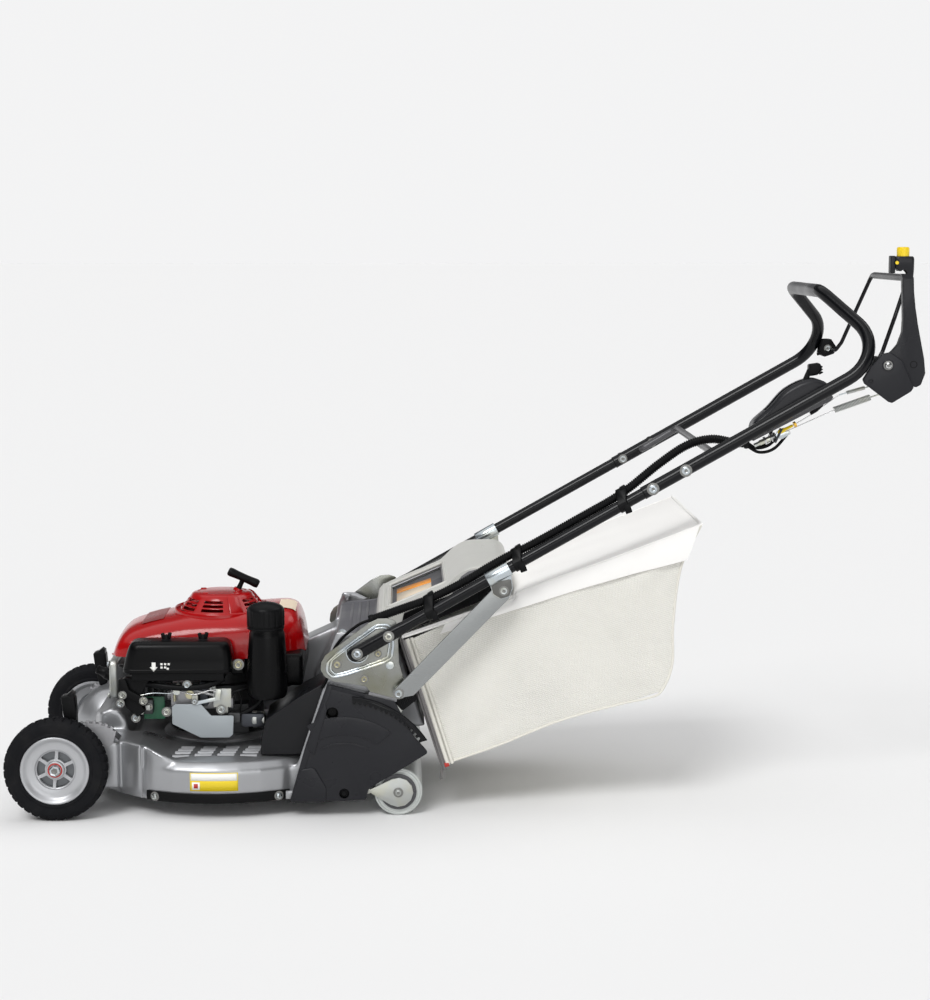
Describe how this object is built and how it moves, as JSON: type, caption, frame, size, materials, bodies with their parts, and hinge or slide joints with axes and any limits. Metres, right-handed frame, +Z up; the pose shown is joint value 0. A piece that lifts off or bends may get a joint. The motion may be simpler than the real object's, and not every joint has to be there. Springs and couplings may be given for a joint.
{
  "type": "push lawn mower",
  "caption": "Petrol walk-behind lawn mower with silver round deck, red engine cover, rear roller, black handle loop, control levers and a cream grass bag",
  "frame": {"origin": "middle of the base, at ground level under the centre of the overall box", "axes": "+X runs from the front wheels to the handle, -Y is the mower's left side, +Z is up"},
  "size_m": [1.768, 0.5782, 1.1],
  "materials": {
    "cast_aluminium": "satin silver paint over casting",
    "silver_rim": "silver paint",
    "zinc": "zinc plated, passivated",
    "steel": "plain steel",
    "dark_steel": "dark steel",
    "gloss_black": "gloss black powder coat",
    "black_plastic": "moulded black",
    "charcoal_plastic": "moulded charcoal",
    "tyre": "black rubber",
    "red": "gloss red",
    "roller": "light grey coating",
    "warm_grey": "moulded light grey",
    "bag_cloth": "woven cream mesh",
    "yellow": "gloss yellow",
    "green": "green plate",
    "exhaust": "heat-marked steel"
  },
  "bodies": {
    "mower": {"cutter_deck": "cast_aluminium", "side_strip_left": "black_plastic", "side_strip_right": "black_plastic", "rear_cover_left": "charcoal_plastic", "rear_cover_right": "charcoal_plastic", "rear_height_comb": "black_plastic", "handle_plate_left": "zinc", "handle_plate_right": "zinc", "lower_handle_left": "gloss_black", "lower_handle_right": "gloss_black", "upper_handle": "gloss_black", "cross_bar": "gloss_black", "handle_brace_left": "steel", "handle_brace_right": "steel", "brace_clamp_left": "zinc", "brace_clamp_right": "zinc", "cable_conduit": "black_plastic", "throttle_console": "charcoal_plastic", "control_bracket": "charcoal_plastic", "bail_pivot_right": "black_plastic", "blade_cable": "zinc", "engine_block": "cast_aluminium", "cylinder_head_cover": "zinc", "engine_shroud": "red", "recoil_cover": "red", "drive_belt": "black_plastic", "gearbox": "dark_steel", "transmission_cover": "charcoal_plastic", "fuel_tank": "black_plastic", "air_cleaner_cover": "black_plastic", "air_cleaner_base": "black_plastic", "insulator_plate": "green", "carburettor": "zinc", "heat_shield": "steel", "muffler": "exhaust"},
    "height_lever_left": {"front_height_lever_left": "gloss_black"},
    "height_lever_right": {"front_height_lever_right": "gloss_black"},
    "wheel_left": {"front_rim_left": "silver_rim", "front_tyre_left": "tyre"},
    "wheel_right": {"front_rim_right": "silver_rim", "front_tyre_right": "tyre"},
    "roller_carrier": {"roller_frame": "zinc", "rear_height_knob": "black_plastic"},
    "roller_left": {"rear_roller_left": "roller"},
    "roller_right": {"rear_roller_right": "roller"},
    "crank": {"crankshaft": "steel", "flywheel": "dark_steel", "blade_boss": "dark_steel", "cutting_blade": "dark_steel", "blade_bolt": "zinc"},
    "gearbox_input": {"gearbox_pulley": "steel"},
    "starter": {"starter_grip": "black_plastic"},
    "filler_cap": {"fuel_cap": "black_plastic"},
    "throttle": {"throttle_lever": "black_plastic"},
    "blade_control": {"blade_lever": "charcoal_plastic"},
    "button": {"blade_button": "yellow"},
    "bail": {"drive_bail": "gloss_black"},
    "flap": {"rear_flap": "warm_grey"},
    "bag": {"bag_frame": "steel", "grass_bag": "bag_cloth"}
  },
  "joints": [
    {"name": "height_left", "type": "hinge", "parent": "mower", "child": "height_lever_left", "pos_m": [-0.724, -0.222, 0.095], "axis": [0, -1, 0], "range_deg": [-32, 32]},
    {"name": "height_right", "type": "hinge", "parent": "mower", "child": "height_lever_right", "pos_m": [-0.724, 0.222, 0.095], "axis": [0, -1, 0], "range_deg": [-32, 32]},
    {"name": "wheel_left_spin", "type": "hinge", "parent": "height_lever_left", "child": "wheel_left", "pos_m": [-0.784, -0.257, 0.1], "axis": [0, 1, 0], "continuous": true},
    {"name": "wheel_right_spin", "type": "hinge", "parent": "height_lever_right", "child": "wheel_right", "pos_m": [-0.784, 0.257, 0.1], "axis": [0, 1, 0], "continuous": true},
    {"name": "height_rear", "type": "hinge", "parent": "mower", "child": "roller_carrier", "pos_m": [-0.2294, 0, 0.0473], "axis": [0, -1, 0], "range_deg": [-18, 18]},
    {"name": "roller_left_spin", "type": "hinge", "parent": "roller_carrier", "child": "roller_left", "pos_m": [-0.124, -0.126, 0.047], "axis": [0, 1, 0], "continuous": true},
    {"name": "roller_right_spin", "type": "hinge", "parent": "roller_carrier", "child": "roller_right", "pos_m": [-0.124, 0.126, 0.047], "axis": [0, 1, 0], "continuous": true},
    {"name": "crank_spin", "type": "hinge", "parent": "mower", "child": "crank", "pos_m": [-0.482, 0, 0.08], "axis": [0, 0, 1], "continuous": true},
    {"name": "gearbox_spin", "type": "hinge", "parent": "mower", "child": "gearbox_input", "pos_m": [-0.329, -0.12, 0.101], "axis": [0, 0, 1], "continuous": true},
    {"name": "starter_pull", "type": "slide", "parent": "mower", "child": "starter", "axis": [0.42, 0, 0.9075], "range_m": [0, 0.45], "stiffness_N_per_m": 40, "springref_m": -0.2},
    {"name": "cap_turn", "type": "hinge", "parent": "mower", "child": "filler_cap", "pos_m": [-0.382, -0.185, 0.38], "axis": [0, 0, 1], "range_deg": [0, 120]},
    {"name": "throttle_swing", "type": "hinge", "parent": "mower", "child": "throttle", "pos_m": [0.646, -0.232, 0.796], "axis": [0, -1, 0], "range_deg": [-5, 25]},
    {"name": "blade_lever_swing", "type": "hinge", "parent": "mower", "child": "blade_control", "pos_m": [0.8215, -0.255, 0.875], "axis": [0, -1, 0], "range_deg": [0, 28], "stiffness_Nm_per_rad": 2, "springref_deg": -11.46},
    {"name": "button_press", "type": "slide", "parent": "blade_control", "child": "button", "axis": [0, 0, -1], "range_m": [0, 0.008], "stiffness_N_per_m": 800, "springref_m": -0.002},
    {"name": "bail_swing", "type": "hinge", "parent": "mower", "child": "bail", "pos_m": [0.806, 0, 0.88], "axis": [0, -1, 0], "range_deg": [0, 42], "stiffness_Nm_per_rad": 2, "springref_deg": -11.46},
    {"name": "flap_open", "type": "hinge", "parent": "mower", "child": "flap", "pos_m": [-0.232, 0, 0.35], "axis": [0, -1, 0], "range_deg": [0, 55], "stiffness_Nm_per_rad": 1.5, "springref_deg": -17.19},
    {"name": "bag_off", "type": "slide", "parent": "mower", "child": "bag", "axis": [0.9534, 0, 0.3018], "range_m": [0, 0.45]}
  ],
  "couplings": [
    {"joint": "gearbox_spin", "follows": "crank_spin", "ratio": 0.675}
  ]
}
